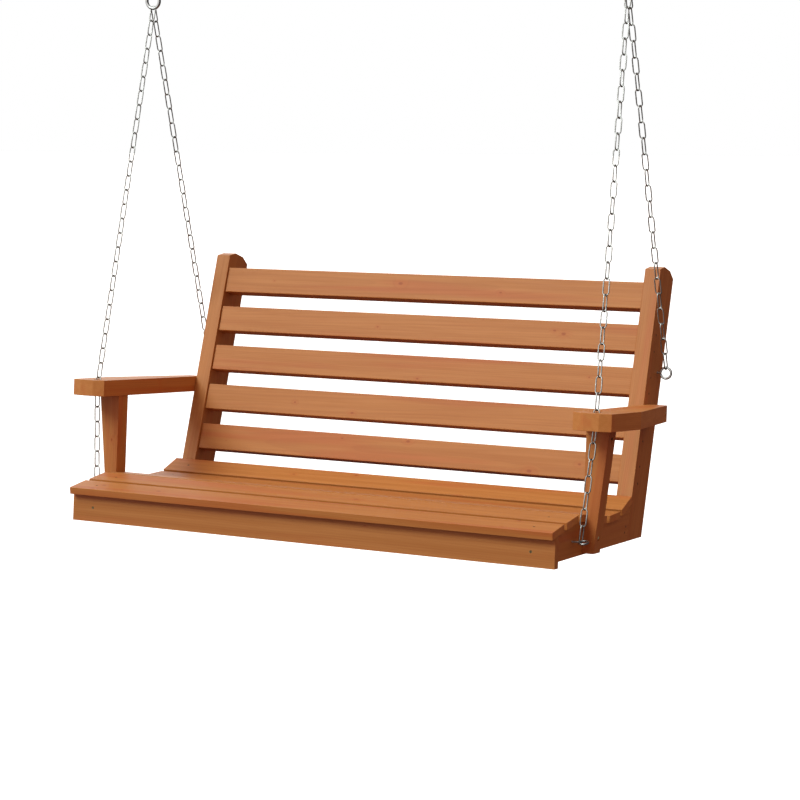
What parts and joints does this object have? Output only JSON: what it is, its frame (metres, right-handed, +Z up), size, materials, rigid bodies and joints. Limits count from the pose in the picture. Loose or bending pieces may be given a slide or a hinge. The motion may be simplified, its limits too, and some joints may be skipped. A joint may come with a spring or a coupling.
{
  "type": "porch swing",
  "caption": "Slatted wooden porch swing bench with curved seat, raked back and flared armrests, hung on chains from ceiling hangers; swings fore and aft and sways a little.",
  "frame": {"origin": "on the ceiling plane, midway between the two hanger plates, straight above the hanging bench's centre of mass", "axes": "+X to the right-hand end seen from the front, +Y to the rear, +Z up; the swing faces -Y"},
  "size_m": [1.396, 0.7349, 1.3305],
  "materials": {
    "stained_pine": "satin clear-coated orange-brown stain over knotty softwood",
    "chain_steel": "zinc-plated welded link chain",
    "bright_zinc_steel": "bright zinc-plated bent wire and plate",
    "zinc_fastener": "yellow-green passivated zinc"
  },
  "bodies": {
    "ceiling": {"hanger_left": "bright_zinc_steel", "hanger_right": "bright_zinc_steel"},
    "quick_links": {"quick_link_left": "bright_zinc_steel", "quick_link_right": "bright_zinc_steel"},
    "left_chains": {"top_ring_left": "bright_zinc_steel", "chain_front_upper_left": "chain_steel", "chain_rear_left": "chain_steel"},
    "bench": {"seat_slat_1": "stained_pine", "seat_slat_2": "stained_pine", "seat_slat_3": "stained_pine", "seat_slat_4": "stained_pine", "seat_slat_5": "stained_pine", "seat_slat_6": "stained_pine", "back_slat_1": "stained_pine", "back_slat_2": "stained_pine", "back_slat_3": "stained_pine", "back_slat_4": "stained_pine", "back_slat_5": "stained_pine", "front_apron": "stained_pine", "rear_stretcher": "stained_pine", "side_rail_left": "stained_pine", "seat_bearer_left": "stained_pine", "back_post_left": "stained_pine", "armrest_left": "stained_pine", "arm_support_left": "stained_pine", "side_rail_right": "stained_pine", "seat_bearer_right": "stained_pine", "back_post_right": "stained_pine", "armrest_right": "stained_pine", "arm_support_right": "stained_pine", "seat_screw_left_1": "zinc_fastener", "seat_screw_left_2": "zinc_fastener", "seat_screw_left_3": "zinc_fastener", "seat_screw_left_4": "zinc_fastener", "seat_screw_left_5": "zinc_fastener", "seat_screw_left_6": "zinc_fastener", "apron_screw_left": "zinc_fastener", "arm_bolt_left": "zinc_fastener", "support_bolt_left": "zinc_fastener", "support_screw_left": "zinc_fastener", "seat_screw_right_1": "zinc_fastener", "seat_screw_right_2": "zinc_fastener", "seat_screw_right_3": "zinc_fastener", "seat_screw_right_4": "zinc_fastener", "seat_screw_right_5": "zinc_fastener", "seat_screw_right_6": "zinc_fastener", "apron_screw_right": "zinc_fastener", "arm_bolt_right": "zinc_fastener", "support_bolt_right": "zinc_fastener", "support_screw_right": "zinc_fastener", "eye_screw_front_left": "bright_zinc_steel", "eye_screw_rear_left": "bright_zinc_steel", "eye_screw_front_right": "bright_zinc_steel", "eye_screw_rear_right": "bright_zinc_steel", "chain_front_lower_left": "chain_steel", "chain_front_lower_right": "chain_steel"},
    "right_chains": {"top_ring_right": "bright_zinc_steel", "chain_front_upper_right": "chain_steel", "chain_rear_right": "chain_steel"}
  },
  "joints": [
    {"name": "swing", "type": "hinge", "parent": "ceiling", "child": "quick_links", "pos_m": [0, 0, -0.037], "axis": [1, 0, 0], "range_deg": [-25, 25]},
    {"name": "sway", "type": "hinge", "parent": "quick_links", "child": "left_chains", "pos_m": [-0.62, 0, -0.0757], "axis": [0, 1, 0], "range_deg": [-5, 5]},
    {"name": "bench_level", "type": "hinge", "parent": "left_chains", "child": "bench", "pos_m": [-0.635, 0, -0.9855], "axis": [0, 1, 0], "range_deg": [-6, 6]},
    {"name": "right_sway", "type": "hinge", "parent": "bench", "child": "right_chains", "pos_m": [0.635, 0, -0.9855], "axis": [0, 1, 0], "range_deg": [-6, 6]}
  ],
  "couplings": [
    {"joint": "bench_level", "follows": "sway", "ratio": -0.976},
    {"joint": "right_sway", "follows": "sway", "ratio": 0.976}
  ]
}
